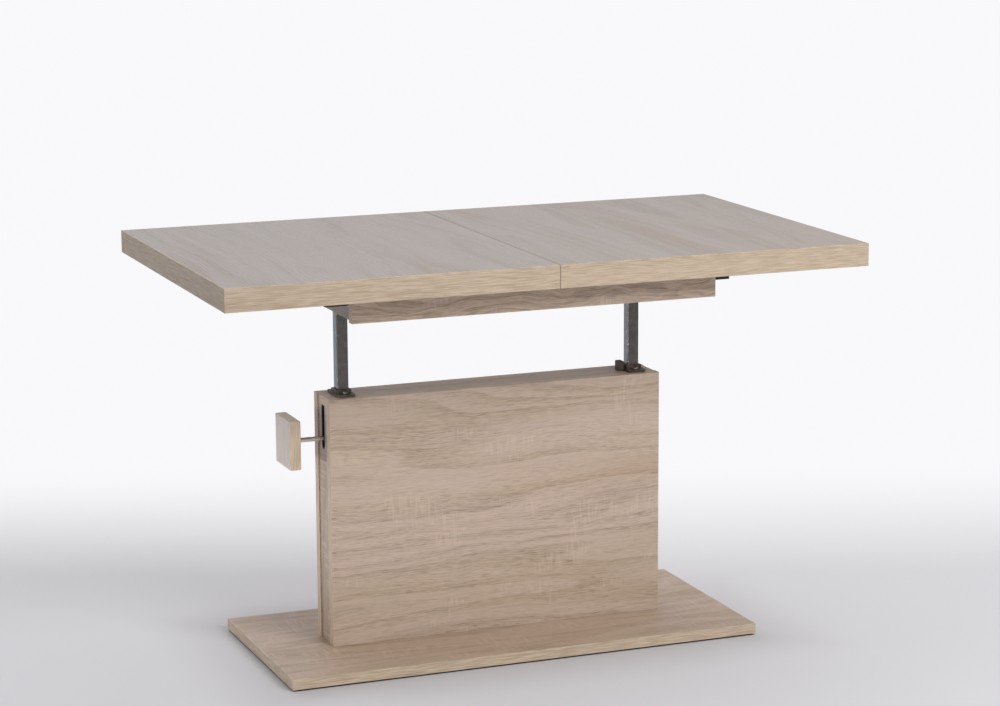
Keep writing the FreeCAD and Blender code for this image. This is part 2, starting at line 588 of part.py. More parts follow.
def runner(label, side, way, groove):
    """Runner of one half with its screws; side is the half's, way is the side of the table."""
    middle = f"{way} * {groove}"
    points = [(f"{middle} - foot_half", "runner_floor"), (f"{middle} + foot_half", "runner_floor"),
              (f"{middle} + foot_half", "foot_top"), (f"{middle} + stem_half", "foot_top"),
              (f"{middle} + stem_half", "apron_top"), (f"{middle} - stem_half", "apron_top"),
              (f"{middle} - stem_half", "foot_top"), (f"{middle} - foot_half", "foot_top")]
    start = "-runner_inner" if side > 0 else "-runner_outer"
    rail = bar(f"{label}_rail", points, start, "runner_inner + runner_outer")
    ends = [f"{side} * flange_start", f"{side} * flange_end"]
    edges = [f"{middle} + {way} * stem_half", f"{middle} - {way} * flange_reach"]
    under = "top_under - flange_thick"
    flange = box(f"{label}_flange", ends if side > 0 else ends[::-1], edges if way < 0 else edges[::-1],
                 (under, "top_under"))
    y = f"{middle} - {way} * runner_screw_offset"
    holes = []
    wells = []
    screws = []
    for i in range(RUNNER_SCREWS):
        x = f"{side} * (runner_screw_first + {i} * runner_screw_span / {RUNNER_SCREWS - 1})"
        hole = "runner_screw_dia + 2 * seat_gap"
        holes.append(rod(f"{label}_hole_{i}", "z", hole, (x, y, under), "flange_thick"))
        wells.append(rod(f"{label}_well_{i}", "z", hole, (x, y, "top_under"), "runner_screw_grip"))
        shank = rod(f"{label}_shank_{i}", "z", "runner_screw_dia", (x, y, under),
                    "flange_thick + runner_screw_grip")
        head = rod(f"{label}_head_{i}", "z", "runner_screw_head",
                   (x, y, f"{under} - runner_screw_head_height"), "runner_screw_head_height")
        screws.append(joined(f"{label}_screw_{i}", [shank, head]))
    keep(cut(label, joined(f"{label}_blank", [rail, flange]), holes))
    return wells, screws


keep(track("front_slide_track", -1))
keep(track("back_slide_track", 1))

# Top halves: board, glued edge bands, runners with screws, and the dowels that line the halves up
dowels = []
dowel_wells = {"left": [], "right": []}
dowel_z = "table_height - top_thick / 2"
for i in (-1, 0, 1):
    y = f"{i} * dowel_spacing"
    label = f"seam_dowel_{i + 1}"
    dowels.append(rod(label, "x", "dowel_dia", ("-dowel_length / 2", y, dowel_z), "dowel_length"))
    dowel_wells["right"].append(rod(f"{label}_seat", "x", "dowel_dia + 2 * fit_gap",
                                    ("seam_gap / 2", y, dowel_z), "dowel_length / 2 - seam_gap / 2"))
    dowel_wells["left"].append(rod(f"{label}_hole", "x", "dowel_dia + 2 * dowel_play",
                                   ("-dowel_length / 2 - dowel_play", y, dowel_z),
                                   "dowel_length / 2 + dowel_play - seam_gap / 2"))
half_y = ("-top_width / 2", "top_width / 2")
half_z = ("top_under", "table_height")
for name, side in (("left", -1), ("right", 1)):
    half_x = ("seam_gap / 2", "top_length / 2") if side > 0 else ("-top_length / 2", "-seam_gap / 2")
    grooves = ("outer_groove", "inner_groove") if side > 0 else ("inner_groove", "outer_groove")
    front_wells, front_screws = runner(f"{name}_front_runner", side, -1, grooves[0])
    back_wells, back_screws = runner(f"{name}_back_runner", side, 1, grooves[1])
    keep(group(f"{name}_runner_screws", front_screws + back_screws))
    core = box(f"top_{name}_core", (f"{half_x[0]} + band_thick", f"{half_x[1]} - band_thick"),
               (f"{half_y[0]} + band_thick", f"{half_y[1]} - band_thick"), half_z)
    keep(cut(f"top_{name}_board", core, front_wells + back_wells + dowel_wells[name]))
    edge_bands(f"top_{name}_edge_bands", half_x, half_y, half_z, ("high",) if side > 0 else ("low",),
               dowel_wells[name])
keep(group("seam_dowels", dowels))

# Folded leaf: two panels hinged at the back edge, lying on two bars across the apron
leaf_bars = [cross_bar(f"leaf_bar_{name}", f"{side} * leaf_bar_spacing / 2", "leaf_bar_width",
                       "leaf_bar_floor", "leaf_bar_thick") for name, side in (("left", -1), ("right", 1))]
keep(group("leaf_support_bars", leaf_bars))
leaf_x = ("-half_travel + leaf_gap", "half_travel - leaf_gap")
leaf_y = ("-leaf_half", "leaf_half")
keep(box("leaf_lower_panel", leaf_x, leaf_y, ("leaf_floor", "leaf_floor + leaf_thick")))
keep(box("leaf_upper_panel", leaf_x, leaf_y, ("leaf_floor + leaf_thick + leaf_gap",
                                              "leaf_floor + 2 * leaf_thick + leaf_gap")))
hinges = []
for name, side in (("left", -1), ("right", 1)):
    start = f"{side} * hinge_spacing / 2 - hinge_length / 2"
    plate = box(f"leaf_hinge_{name}_plate", (start, f"{start} + hinge_length"),
                ("leaf_half", "leaf_half + hinge_plate"),
                ("leaf_fold - hinge_height / 2", "leaf_fold + hinge_height / 2"))
    knuckle = rod(f"leaf_hinge_{name}_knuckle", "x", "hinge_knuckle",
                  (start, "leaf_half + hinge_knuckle / 2", "leaf_fold"), "hinge_length")
    hinges.append(joined(f"leaf_hinge_{name}", [plate, knuckle]))
keep(group("leaf_hinges", hinges))

# Gas spring: piston rod held at the foot, cylinder carried by the crossbar
rod_radius = "gas_rod_dia / 2"
gland_radius = "gas_rod_dia / 2 + fit_gap"
pin_hole = "spring_pin_dia + 2 * fit_gap"
barrel = turned("gas_spring_barrel", [
    (gland_radius, "gas_bottom"), ("gas_outer / 2", "gas_bottom"), ("gas_outer / 2", "gas_top"),
    ("0", "gas_top"), ("0", "gas_bore_top"), ("gas_bore / 2", "gas_bore_top"),
    ("gas_bore / 2", "gas_bore_floor"), (gland_radius, "gas_bore_floor")])
lug = box("gas_spring_lug", ("-eye_width / 2", "eye_width / 2"), ("-eye_thick / 2", "eye_thick / 2"),
          ("gas_top", "top_eye_end"))
lug_hole = rod("gas_spring_lug_hole", "y", pin_hole, ("0", "-eye_thick / 2", "top_eye_z"), "eye_thick")
keep(cut("gas_spring_cylinder", joined("gas_spring_cylinder_blank", [barrel, lug]), [lug_hole]))
keep(turned("gas_spring_piston_rod", [
    ("0", "head_top - rod_seat_depth"), (rod_radius, "head_top - rod_seat_depth"),
    (rod_radius, "piston_floor"), ("gas_bore / 2 - fit_gap", "piston_floor"),
    ("gas_bore / 2 - fit_gap", "piston_top"), ("0", "piston_top")]))
bracket_x = ("-bracket_width / 2", "bracket_width / 2")
bracket_far = "eye_thick / 2 + bracket_gap + bracket_ear"
web_floor = "top_eye_end + bracket_headroom"
bracket_z = ("gas_top + run_gap", f"{web_floor} + bracket_web")
bracket_blank = joined("gas_spring_bracket_blank", [
    box("gas_bracket_front", bracket_x, ("-crossbar_back", "-eye_thick / 2 - bracket_gap"), bracket_z),
    box("gas_bracket_back", bracket_x, ("eye_thick / 2 + bracket_gap", bracket_far), bracket_z),
    box("gas_bracket_web", bracket_x, ("-crossbar_back", bracket_far),
        (web_floor, f"{web_floor} + bracket_web"))])
keep(cut("gas_spring_top_bracket", bracket_blank,
         [rod("gas_bracket_hole", "y", pin_hole, ("0", "-crossbar_back", "top_eye_z"),
              f"crossbar_back + {bracket_far}")]))
keep(rod("gas_spring_top_pin", "y", "spring_pin_dia", ("0", "-crossbar_back", "top_eye_z"),
         f"crossbar_back + {bracket_far}"))
ear_x = ("-ear_width / 2", "ear_width / 2")
plate_top = "base_top + foot_plate_thick"
foot_pin_half = "ear_gap / 2 + ear_thick"
foot_blank = joined("gas_spring_foot_blank", [
    box("gas_foot_plate", ("-foot_plate_x / 2", "foot_plate_x / 2"),
        ("-foot_plate_y / 2", "foot_plate_y / 2"), ("base_top", plate_top)),
    box("gas_foot_front_ear", ear_x, (f"-({foot_pin_half})", "-ear_gap / 2"), (plate_top, "foot_ear_top")),
    box("gas_foot_back_ear", ear_x, ("ear_gap / 2", foot_pin_half), (plate_top, "foot_ear_top"))])
foot_bore = rod("gas_foot_bore", "y", pin_hole, ("0", f"-({foot_pin_half})", "foot_pin_height"),
                f"2 * ({foot_pin_half})")
keep(cut("gas_spring_foot", foot_blank, [foot_bore]))
keep(rod("gas_spring_foot_pin", "y", "spring_pin_dia",
         ("0", f"-({foot_pin_half}) - ear_thick", "foot_pin_height"),
         f"2 * ({foot_pin_half}) + 2 * ear_thick"))
head_y = "ear_gap / 2 - ear_side_gap"
stop_far = "cable_y + sheath_dia / 2 + run_gap"
head_blank = joined("release_head_blank", [
    box("release_head_block", ("-head_width / 2", "head_width / 2"), (f"-({head_y})", head_y),
        ("head_bottom", "head_top")),
    box("release_head_web", ("-cable_stop_x", "-head_width / 2"), (f"-({head_y}) / 2", f"({head_y}) / 2"),
        ("sheath_z - cable_stop_height / 4", "sheath_z + cable_stop_height / 4")),
    box("release_head_stop", ("-cable_stop_x", "-cable_stop_x + cable_stop_thick"),
        (f"-({head_y}) / 2", stop_far),
        ("sheath_z - cable_stop_height / 2", "sheath_z + cable_stop_height / 2"))])
keep(cut("release_head", head_blank, [
    rod("release_head_pin_hole", "y", pin_hole, ("0", f"-({head_y})", "foot_pin_height"),
        f"2 * ({head_y})"),
    rod("release_head_seat", "z", "gas_rod_dia + 2 * fit_gap", ("0", "0", "head_top - rod_seat_depth"),
        "rod_seat_depth"),
    rod("release_head_wire_hole", "x", "sheath_bore", ("-cable_stop_x", "cable_y", "sheath_z"),
        "cable_stop_thick")]))

# Release handle: block on a rod; its yoke and prong pass beside the left tube to a pivot in the back panel
prong_y = ("prong_front", "prong_back")
lever_blank = joined("release_lever_blank", [
    rod("release_rod", "x", "rod_dia", ("-handle_inner - rod_seat", "0", "handle_z"),
        "handle_inner + rod_seat - yoke_outer"),
    box("release_yoke", ("-yoke_outer", "-yoke_inner"), ("-yoke_front", "prong_back"),
        ("handle_z - yoke_height / 2", "handle_z + yoke_height / 2")),
    box("release_prong", ("-yoke_inner", "-pivot_x + prong_tail"), prong_y,
        ("handle_z - prong_height / 2", "handle_z + prong_height / 2")),
    box("release_tab", ("-cable_x - cable_tab_x / 2", "-cable_x + cable_tab_x / 2"),
        ("prong_back", "cable_tab_end"), ("handle_z", "cable_tab_top"))])
keep(cut("release_lever", lever_blank, [
    rod("release_pivot_hole", "y", "pivot_dia + 2 * fit_gap", ("-pivot_x", "prong_front", "handle_z"),
        "prong_thick"),
    rod("release_wire_hole", "z", "wire_hole", ("-cable_x", "cable_y", "handle_z"), "cable_tab_thick")]))
block = box("handle_blank", ("-handle_inner - handle_x", "-handle_inner"),
            ("-handle_y / 2", "handle_y / 2"),
            ("handle_z - handle_height / 2", "handle_z + handle_height / 2"))
eased_block = rounded("handle_eased", block, "handle_round", lambda edge: True)
keep(cut("handle_block", eased_block, [rod("handle_bore", "x", "rod_dia + 2 * fit_gap",
                                           ("-handle_inner - rod_seat", "0", "handle_z"), "rod_seat")]))
collar = "pivot_dia + 2 * pivot_collar"
keep(joined("lever_pivot_pin", [
    rod("pivot_shank", "y", "pivot_dia", ("-pivot_x", "prong_front - run_gap", "handle_z"),
        "column_inner + panel_thick / 2 - prong_front + run_gap"),
    rod("pivot_head", "y", collar, ("-pivot_x", "prong_front - run_gap - pivot_collar", "handle_z"),
        "pivot_collar"),
    rod("pivot_spacer", "y", collar, ("-pivot_x", "prong_back + run_gap", "handle_z"),
        "column_inner - prong_back - run_gap")]))
keep(rod("lever_stop_buffer", "y", "stop_dia",
         ("-stop_x", "prong_front", "handle_z - prong_height / 2 - run_gap - stop_dia / 2"),
         "column_inner - prong_front"))

# Release cable: wire with its nipple on the lever, anchor, sheath with one quarter bend, and clips
keep(joined("release_wire", [
    rod("release_nipple", "y", "nipple_dia", ("-cable_x", "cable_y - nipple_length / 2", "nipple_z"),
        "nipple_length"),
    rod("release_wire_run", "z", "wire_dia", ("-cable_x", "cable_y", "wire_end"), "nipple_z - wire_end")]))
anchor_block = box("cable_anchor_block", ("-cable_x - anchor_x / 2", "-cable_x + anchor_x / 2"),
                   ("anchor_front", "column_inner"), ("anchor_floor", "anchor_top"))
keep(cut("cable_anchor", anchor_block, [rod("cable_anchor_hole", "z", "wire_dia + 2 * wire_gap",
                                            ("-cable_x", "cable_y", "anchor_floor"), "anchor_height")]))


def sheath(label, diameter):
    """Round bar down from the anchor, through a quarter bend and along to the stop on the release head."""
    down = rod(f"{label}_down", "z", diameter, ("-cable_x", "cable_y", "sheath_z + sheath_bend"),
               "anchor_floor - sheath_z - sheath_bend")
    bend = new("Part::Torus", f"{label}_bend")
    bend.Angle3 = 90
    turn = FreeCAD.Rotation(FreeCAD.Vector(-1, 0, 0), FreeCAD.Vector(0, 0, -1),
                            FreeCAD.Vector(0, -1, 0), "XYZ")
    bend.Placement = FreeCAD.Placement(FreeCAD.Vector(), turn)
    put(bend, ("-cable_x + sheath_bend", "cable_y", "sheath_z + sheath_bend"))
    tie(bend, Radius1="sheath_bend", Radius2=f"({diameter}) / 2")
    level = rod(f"{label}_level", "x", diameter, ("-cable_x + sheath_bend", "cable_y", "sheath_z"),
                "cable_x - sheath_bend - cable_stop_x")
    return joined(label, [down, bend, level])


keep(cut("release_cable", sheath("sheath_outside", "sheath_dia"), [sheath("sheath_inside", "sheath_bore")]))
clip_y = ("cable_y - sheath_dia / 2 - clip_wall", "column_inner")
clip_half = "(sheath_dia / 2 + clip_wall)"
high_clip = box("high_clip_block", (f"-cable_x - {clip_half}", f"-cable_x + {clip_half}"), clip_y,
                ("clip_high - clip_length / 2", "clip_high + clip_length / 2"))
clip_bore = "sheath_dia + 2 * seat_gap"
high_bore = rod("high_clip_bore", "z", clip_bore, ("-cable_x", "cable_y", "clip_high - clip_length / 2"),
                "clip_length")
low_clip = box("low_clip_block", ("-clip_low_x - clip_length / 2", "-clip_low_x + clip_length / 2"), clip_y,
               ("base_top + bottom_rail_height", f"sheath_z + {clip_half}"))
low_bore = rod("low_clip_bore", "x", clip_bore, ("-clip_low_x - clip_length / 2", "cable_y", "sheath_z"),
               "clip_length")
clips = [cut("high_clip", high_clip, [high_bore]), cut("low_clip", low_clip, [low_bore])]
keep(group("cable_clips", clips))

# Check every object, then write each piece to a file of its own
doc.recompute()
for item in doc.Objects:
    if "Invalid" in item.State or "Error" in item.State:
        raise RuntimeError(f"{item.Label} failed: {item.State}")
os.makedirs("parts", exist_ok=True)
for item in nodes:
    shape = item.Shape
    if shape.isNull() or not shape.isValid() or not shape.Solids:
        raise RuntimeError(f"{item.Label} has no valid solid")
for item in nodes:
    item.Shape.exportStep(f"parts/{item.Label}.step")
print(len(nodes), "pieces")
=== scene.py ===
"""Looks of a convertible coffee and dining table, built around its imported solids.

Metres. The frame is the solids' own: +X along the top, +Y to the back, +Z up, the floor at zero.
"""
import bmesh
import bpy
import math
from mathutils import Matrix, Vector


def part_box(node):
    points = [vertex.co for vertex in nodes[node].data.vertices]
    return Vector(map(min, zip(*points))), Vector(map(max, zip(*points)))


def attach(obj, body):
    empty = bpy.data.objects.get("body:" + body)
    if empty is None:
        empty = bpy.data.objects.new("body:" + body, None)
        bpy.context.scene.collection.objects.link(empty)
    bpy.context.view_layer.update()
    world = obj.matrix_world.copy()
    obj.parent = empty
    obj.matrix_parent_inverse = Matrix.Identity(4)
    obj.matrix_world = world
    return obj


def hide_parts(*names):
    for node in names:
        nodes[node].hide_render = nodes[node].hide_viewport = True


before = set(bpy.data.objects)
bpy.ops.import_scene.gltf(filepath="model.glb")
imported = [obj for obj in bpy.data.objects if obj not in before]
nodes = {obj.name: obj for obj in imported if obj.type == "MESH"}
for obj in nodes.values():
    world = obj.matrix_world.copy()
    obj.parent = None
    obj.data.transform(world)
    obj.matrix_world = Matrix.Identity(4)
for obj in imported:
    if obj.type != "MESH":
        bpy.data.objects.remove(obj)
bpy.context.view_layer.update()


# Floor glides
# Six low discs of black moulded plastic, pressed on under the foot board. They keep the board off the
# floor, and with the painted shadow on the floor under the foot they show as a thin dark line below its
# front edge.
class Shade:
    """Socket in a node tree. Operators on it add Math nodes, and add() adds any other node."""

    def __init__(self, tree, socket=None):
        self.tree = tree
        self.socket = socket

    def add(self, kind, settings, values, output=0):
        """New node of a kind: its settings first, then a value or a link for each of its sockets."""
        node = self.tree.nodes.new(kind)
        for name, value in settings.items():
            setattr(node, name, value)
        for key, value in values.items():
            if isinstance(value, Shade):
                self.tree.links.new(value.socket, node.inputs[key])
            else:
                node.inputs[key].default_value = value
        return Shade(self.tree, node.outputs[output])

    def maths(self, operation, first, second=0.0):
        """Math node of an operation on one or two values."""
        return self.add("ShaderNodeMath", {"operation": operation}, {0: first, 1: second})

    def __add__(self, other):
        return self.maths("ADD", self, other)

    def __radd__(self, other):
        return self.maths("ADD", other, self)

    def __sub__(self, other):
        return self.maths("SUBTRACT", self, other)

    def __rsub__(self, other):
        return self.maths("SUBTRACT", other, self)

    def __mul__(self, other):
        return self.maths("MULTIPLY", self, other)

    def __rmul__(self, other):
        return self.maths("MULTIPLY", other, self)


def finish(name):
    """New material with its shader and the object coordinates that its patterns read."""
    material = bpy.data.materials.new(name)
    material.use_nodes = True
    tree = material.node_tree
    place = Shade(tree).add("ShaderNodeTexCoord", {}, {}, "Object")
    return material, tree.nodes["Principled BSDF"], place


def feed(node, name, value):
    """Lead a pattern or a shader into a socket of a node."""
    value.tree.links.new(value.socket, node.inputs[name])


def cloud(place, scale, detail=2.0, shift=0.0):
    """Soft noise from 0 to 1, stretched by three frequencies in periods per metre."""
    moved = (shift, 0.7 * shift, 1.3 * shift)
    spot = place.add("ShaderNodeMapping", {}, {"Vector": place, "Location": moved, "Scale": scale})
    return spot.add("ShaderNodeTexNoise", {}, {"Vector": spot, "Scale": 1.0, "Detail": detail})


def ease(value, low, high):
    """0 below one value, 1 above another, and a smooth rise between them."""
    return value.add("ShaderNodeMapRange", {"interpolation_type": "SMOOTHSTEP"},
                     {"Value": value, "From Min": low, "From Max": high})


# The Mix node has sockets of the same names for each kind of data; these are the colour ones.
MIX_SHARE, MIX_FIRST, MIX_SECOND, MIXED = 0, 6, 7, 2


def mix(share, first, second):
    """Colour between two colours."""
    return share.add("ShaderNodeMix", {"data_type": "RGBA"},
                     {MIX_SHARE: share, MIX_FIRST: first, MIX_SECOND: second}, MIXED)


def relief(shader, height, depth, strength=1.0):
    """Bump of a depth in metres from a height between 0 and 1."""
    bump = height.add("ShaderNodeBump", {}, {"Height": height, "Distance": depth, "Strength": strength})
    feed(shader, "Normal", bump)


def dress(material, *names):
    """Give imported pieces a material."""
    for name in names:
        mesh = nodes[name].data
        mesh.materials.clear()
        mesh.materials.append(material)


def moulded(name, dark, light, rough, grit):
    """Moulded plastic or rubber: faint cloudy shade, fine eroded skin."""
    material, shader, place = finish(name)
    patch = cloud(place, (60, 60, 60), 3.0)
    skin = cloud(place, (1800, 1800, 1800))
    feed(shader, "Base Color", mix(ease(patch, 0.3, 0.7), dark, light))
    feed(shader, "Roughness", rough + 0.12 * patch)
    relief(shader, skin, grit)
    return material


def loose_boxes(node):
    """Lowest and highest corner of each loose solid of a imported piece, in the mesh's order."""
    copy = bmesh.new()
    copy.from_mesh(nodes[node].data)
    bmesh.ops.remove_doubles(copy, verts=copy.verts, dist=1e-6)
    boxes = []
    for start in copy.verts:
        if start.tag:
            continue
        start.tag = True
        group = [start]
        for vert in group:
            near = [edge.other_vert(vert) for edge in vert.link_edges]
            group += [other for other in near if not other.tag]
            for other in near:
                other.tag = True
        boxes.append((Vector(min(vert.co[i] for vert in group) for i in range(3)),
                      Vector(max(vert.co[i] for vert in group) for i in range(3))))
    copy.free()
    return boxes


def ringed(form, loop, rows):
    """Draw a loop of edges on from ring to ring, each a radius and a height; returns the last loop."""
    for radius, height in rows:
        grown = bmesh.ops.extrude_edge_only(form, edges=loop)["geom"]
        ring = [part for part in grown if isinstance(part, bmesh.types.BMVert)]
        loop = [part for part in grown if isinstance(part, bmesh.types.BMEdge)]
        now = max(math.hypot(vert.co.x, vert.co.y) for vert in ring)
        bmesh.ops.scale(form, vec=(radius / now, radius / now, 1.0), verts=ring)
        bmesh.ops.translate(form, vec=(0.0, 0.0, height - ring[0].co.z), verts=ring)
    return loop


def seats(boxes, way):
    """Middle of the top of each box (way 1) or of its underside (way -1), and the direction it faces."""
    ends = [high if way > 0 else low for low, high in boxes]
    middles = [(low + high) / 2 for low, high in boxes]
    return [(Vector((middle.x, middle.y, end.z)), (0, 0, way)) for middle, end in zip(middles, ends)]


def stand(sample, places, group=None):
    """Copies of a form that stands on the origin, each moved to a point and turned to face a way."""
    if group is None:
        group = bmesh.new()
    shape = bpy.data.meshes.new("sample")
    sample.to_mesh(shape)
    sample.free()
    for spot, facing in places:
        earlier = set(group.verts)
        group.from_mesh(shape)
        added = [vert for vert in group.verts if vert not in earlier]
        turn = Vector((0.0, 0.0, 1.0)).rotation_difference(Vector(facing)).to_matrix().to_4x4()
        bmesh.ops.transform(group, matrix=Matrix.Translation(spot) @ turn, verts=added)
    bpy.data.meshes.remove(shape)
    return group


SHARP_ANGLE = math.radians(40.0)


def fit(name, form, material, node, body):
    """New piece that stands for a packed one and moves with its body."""
    bmesh.ops.recalc_face_normals(form, faces=form.faces)
    mesh = bpy.data.meshes.new(name)
    form.to_mesh(mesh)
    form.free()
    mesh.shade_smooth()
    mesh.set_sharp_from_angle(angle=SHARP_ANGLE)
    mesh.materials.append(material)
    piece = bpy.data.objects.new(name, mesh)
    bpy.context.scene.collection.objects.link(piece)
    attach(piece, body)
    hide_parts(node)


black_plastic = moulded("black_plastic", (0.020, 0.019, 0.018, 1), (0.036, 0.034, 0.032, 1),
                        rough=0.38, grit=0.00006)
glide_boxes = loose_boxes("floor_glides")
glide_low, glide_high = glide_boxes[0]
glide_thick = glide_high.z - glide_low.z
glide_radius = (glide_high.x - glide_low.x) / 2
glide_round = 0.001
hollow_radius = 0.008
glide = bmesh.new()
bmesh.ops.create_circle(glide, cap_ends=True, segments=40, radius=glide_radius - 0.8 * glide_round)
glide_sole = ringed(glide, list(glide.edges), [
    (glide_radius, -0.3 * glide_thick),
    (glide_radius, -0.5 * glide_thick),
    (glide_radius - glide_round, -0.9 * glide_thick),
    (glide_radius - 2 * glide_round, -glide_thick),
    (hollow_radius, -glide_thick),
    (hollow_radius - glide_round, -0.7 * glide_thick),
])
bmesh.ops.contextual_create(glide, geom=glide_sole)
glides = stand(glide, seats(glide_boxes, 1))
fit("floor_glide_pads", glides, black_plastic, "floor_glides", "pedestal")

# Foot board and its edge bands
# Board faced with a printed oak decor and edged with thick oak-print bands, glued on and eased.
# The grain of the face runs along the board, the bands' grain along each edge.
AXES = {"x": (1, 0, 0), "y": (0, 1, 0), "z": (0, 0, 1)}
# Tones of a decor: rose ground, straw bands, brown late wood and a warm glow
DECOR_TONES = ((0.590, 0.466, 0.383, 1), (0.548, 0.436, 0.318, 1), (0.360, 0.268, 0.198, 1),
               (0.505, 0.342, 0.242, 1))
FOOT_TONES = ((0.600, 0.465, 0.372, 1), (0.560, 0.430, 0.315, 1), (0.375, 0.260, 0.175, 1),
              (0.540, 0.340, 0.220, 1))
BAND_PALE = (0.668, 0.541, 0.406, 1)
BAND_DEEP = (0.450, 0.345, 0.240, 1)
# Growth rings from the lowest to the highest value of their field, and how far the grain wanders
RING_COUNT = 12.0
GRAIN_WANDER = 0.05
FACE_RELIEF = 0.00022
BAND_RELIEF = 0.00018
# Edge bands are thinner than this; beside a seam they have the colour of the face
SEAM_BAND = 0.003


def turned(place, along, across):
    """Coordinates with X along the grain of a face and Y across it."""
    rows = Matrix((along, across, Vector(along).cross(Vector(across))))
    return place.add("ShaderNodeMapping", {}, {"Vector": place, "Rotation": rows.to_euler()})


def spot_on(place, axis):
    """One of the three coordinates of a place or a direction."""
    return place.add("ShaderNodeSeparateXYZ", {}, {0: place}, "xyz".index(axis))


def facing_on(place, axis):
    """Part of the surface's direction along an axis, from -1 to 1."""
    return spot_on(place.add("ShaderNodeTexCoord", {}, {}, "Normal"), axis)


def edgewise(place, along, across, through):
    """Coordinates with X along any edge of a board and Y through its thickness."""
    run = spot_on(place, along) + spot_on(place, across)
    return place.add("ShaderNodeCombineXYZ", {}, {"X": run, "Y": spot_on(place, through)})


def scaled(colour, factor):
    """Colour made darker or lighter by a factor."""
    return tuple(min(1.0, factor * part) for part in colour[:3]) + (1,)


def oak_figure(board, shift, tones, force, marks, ticks, loops, pores):
    """Printed oak: wandering growth rings, streaks, pores and pale saw marks; colour and relief."""
    rose, straw, brown, warm = tones
    wander = cloud(board, (3.0 * loops, 6.0, 1.0), 2.0, shift) - 0.5
    bend = board.add("ShaderNodeCombineXYZ", {}, {"Y": GRAIN_WANDER * wander})
    grain = board.add("ShaderNodeVectorMath", {"operation": "ADD"}, {0: board, 1: bend})
    # Rings with a soft dark late side, and slow changes of tone between them
    field = cloud(grain, (0.8 * loops, 7.0 * loops, 1.0), 2.0, shift + 3.0)
    ring = board.maths("FRACT", RING_COUNT * field)
    late = ease(ring, 0.0, 0.10) * (1.0 - ease(ring, 0.10, 0.85))
    band = ease(cloud(grain, (0.8, 15.0, 1.0), 2.0, shift + 5.0), 0.38, 0.62)
    glow = ease(cloud(grain, (0.9, 6.0, 1.0), 1.0, shift + 8.0), 0.54, 0.70)
    # Long fibres, pores, and short streaks that are stronger in some places than in others
    fibre = cloud(grain, (14.0, 560.0, 9.0), 3.0, shift)
    pore = ease(cloud(grain, (pores, 850.0, 24.0), 1.0, shift + 2.0), 0.56, 0.72)
    grit = cloud(grain, (52.0, 520.0, 20.0), 2.0, shift + 17.0)
    coarse = ease(cloud(grain, (4.0, 24.0, 1.0), 1.0, shift + 19.0), 0.36, 0.64)
    dark_grit = (0.12 + 0.30 * coarse) * ease(grit, 0.48, 0.68)
    pale_grit = (0.18 + 0.22 * coarse) * (1.0 - ease(grit, 0.32, 0.48))
    # Ticks of the saw across the grain, in patches
    patch = ease(cloud(board, (11.0, 19.0, 1.0), 1.0, shift + 11.0), 0.72 - marks, 0.80 - marks)
    tick = ease(cloud(board, (250.0, 24.0, 1.0), 0.0, shift + 13.0), 0.50, 0.66)
    saw = patch * tick
    tone = mix(band * (0.4 + 0.6 * late), rose, straw)
    tone = mix(glow * (0.35 + 0.4 * late), tone, warm)
    tone = mix(force * late * (0.12 + 0.42 * ease(fibre, 0.35, 0.65)), tone, brown)
    tone = mix(force * 0.34 * ease(fibre, 0.48, 0.75), tone, brown)
    tone = mix(force * dark_grit, tone, brown)
    tone = mix(force * pale_grit, tone, scaled(straw, 1.24))
    tone = mix(force * pore * (0.25 + 0.35 * late), tone, scaled(brown, 0.62))
    tone = mix(force * ticks * saw, tone, scaled(rose, 1.2))
    height = 0.6 * fibre - 0.8 * pore - 0.3 * saw
    return tone, height


def oak_strip(board, shift):
    """Oak-print edge band: straight fine lines along the edge; colour and relief."""
    streak = cloud(board, (26.0, 760.0, 3.0), 3.0, shift)
    line = cloud(board, (34.0, 700.0, 10.0), 2.0, shift + 4.0)
    slow = cloud(board, (1.5, 40.0, 1.5), 1.0, shift + 6.0)
    tone = mix(ease(streak, 0.28, 0.62), BAND_DEEP, BAND_PALE)
    tone = mix(0.35 * ease(slow, 0.4, 0.7), tone, BAND_PALE)
    tone = mix(0.58 * ease(line, 0.48, 0.66), tone, BAND_DEEP)
    return tone, 0.5 * streak + 0.5 * line


def oak_board(name, along, across, shift, tones=DECOR_TONES, gloss=0.44, force=1.0, marks=0.14,
              ticks=0.28, loops=1.0, pores=45.0):
    """Decor board whose faces have the figure and whose narrow sides have the band's straight grain."""
    material, shader, place = finish(name)
    through = ({"x", "y", "z"} - {along, across}).pop()
    board = turned(place, AXES[along], AXES[across])
    tone, height = oak_figure(board, shift, tones, force, marks, ticks, loops, pores)
    edge_tone, edge_height = oak_strip(edgewise(place, along, across, through), shift + 20.0)
    face = ease(place.maths("ABSOLUTE", facing_on(place, through)), 0.5, 0.6)
    feed(shader, "Base Color", mix(face, edge_tone, tone))
    feed(shader, "Roughness", gloss + 0.10 * height)
    relief(shader, face * height + (1.0 - face) * edge_height, FACE_RELIEF * force * force, 0.6)
    return material


def oak_band(name, shift, seam=None):
    """Edge bands of a level board; beside a seam they have the face's colour and a painted shade along the
    seam.
    """
    material, shader, place = finish(name)
    tone, height = oak_strip(edgewise(place, "x", "y", "z"), shift)
    if seam:
        from_seam = place.maths("ABSOLUTE", spot_on(place, "x"))
        upward = ease(facing_on(place, "z"), 0.5, 0.6)
        beside = 1.0 - ease(from_seam, SEAM_BAND, SEAM_BAND + 0.0005)
        # Painted shade in the fine gap of the seam, darkest right at its edges.
        seam_shade = 1.0 - ease(from_seam, 0.0004, 0.0012)
        tone = mix(upward * beside, tone, seam)
        tone = mix(0.52 * seam_shade, tone, scaled(seam, 0.30))
    feed(shader, "Base Color", tone)
    feed(shader, "Roughness", 0.46 + 0.08 * height)
    relief(shader, height, BAND_RELIEF, 0.6)
    return material


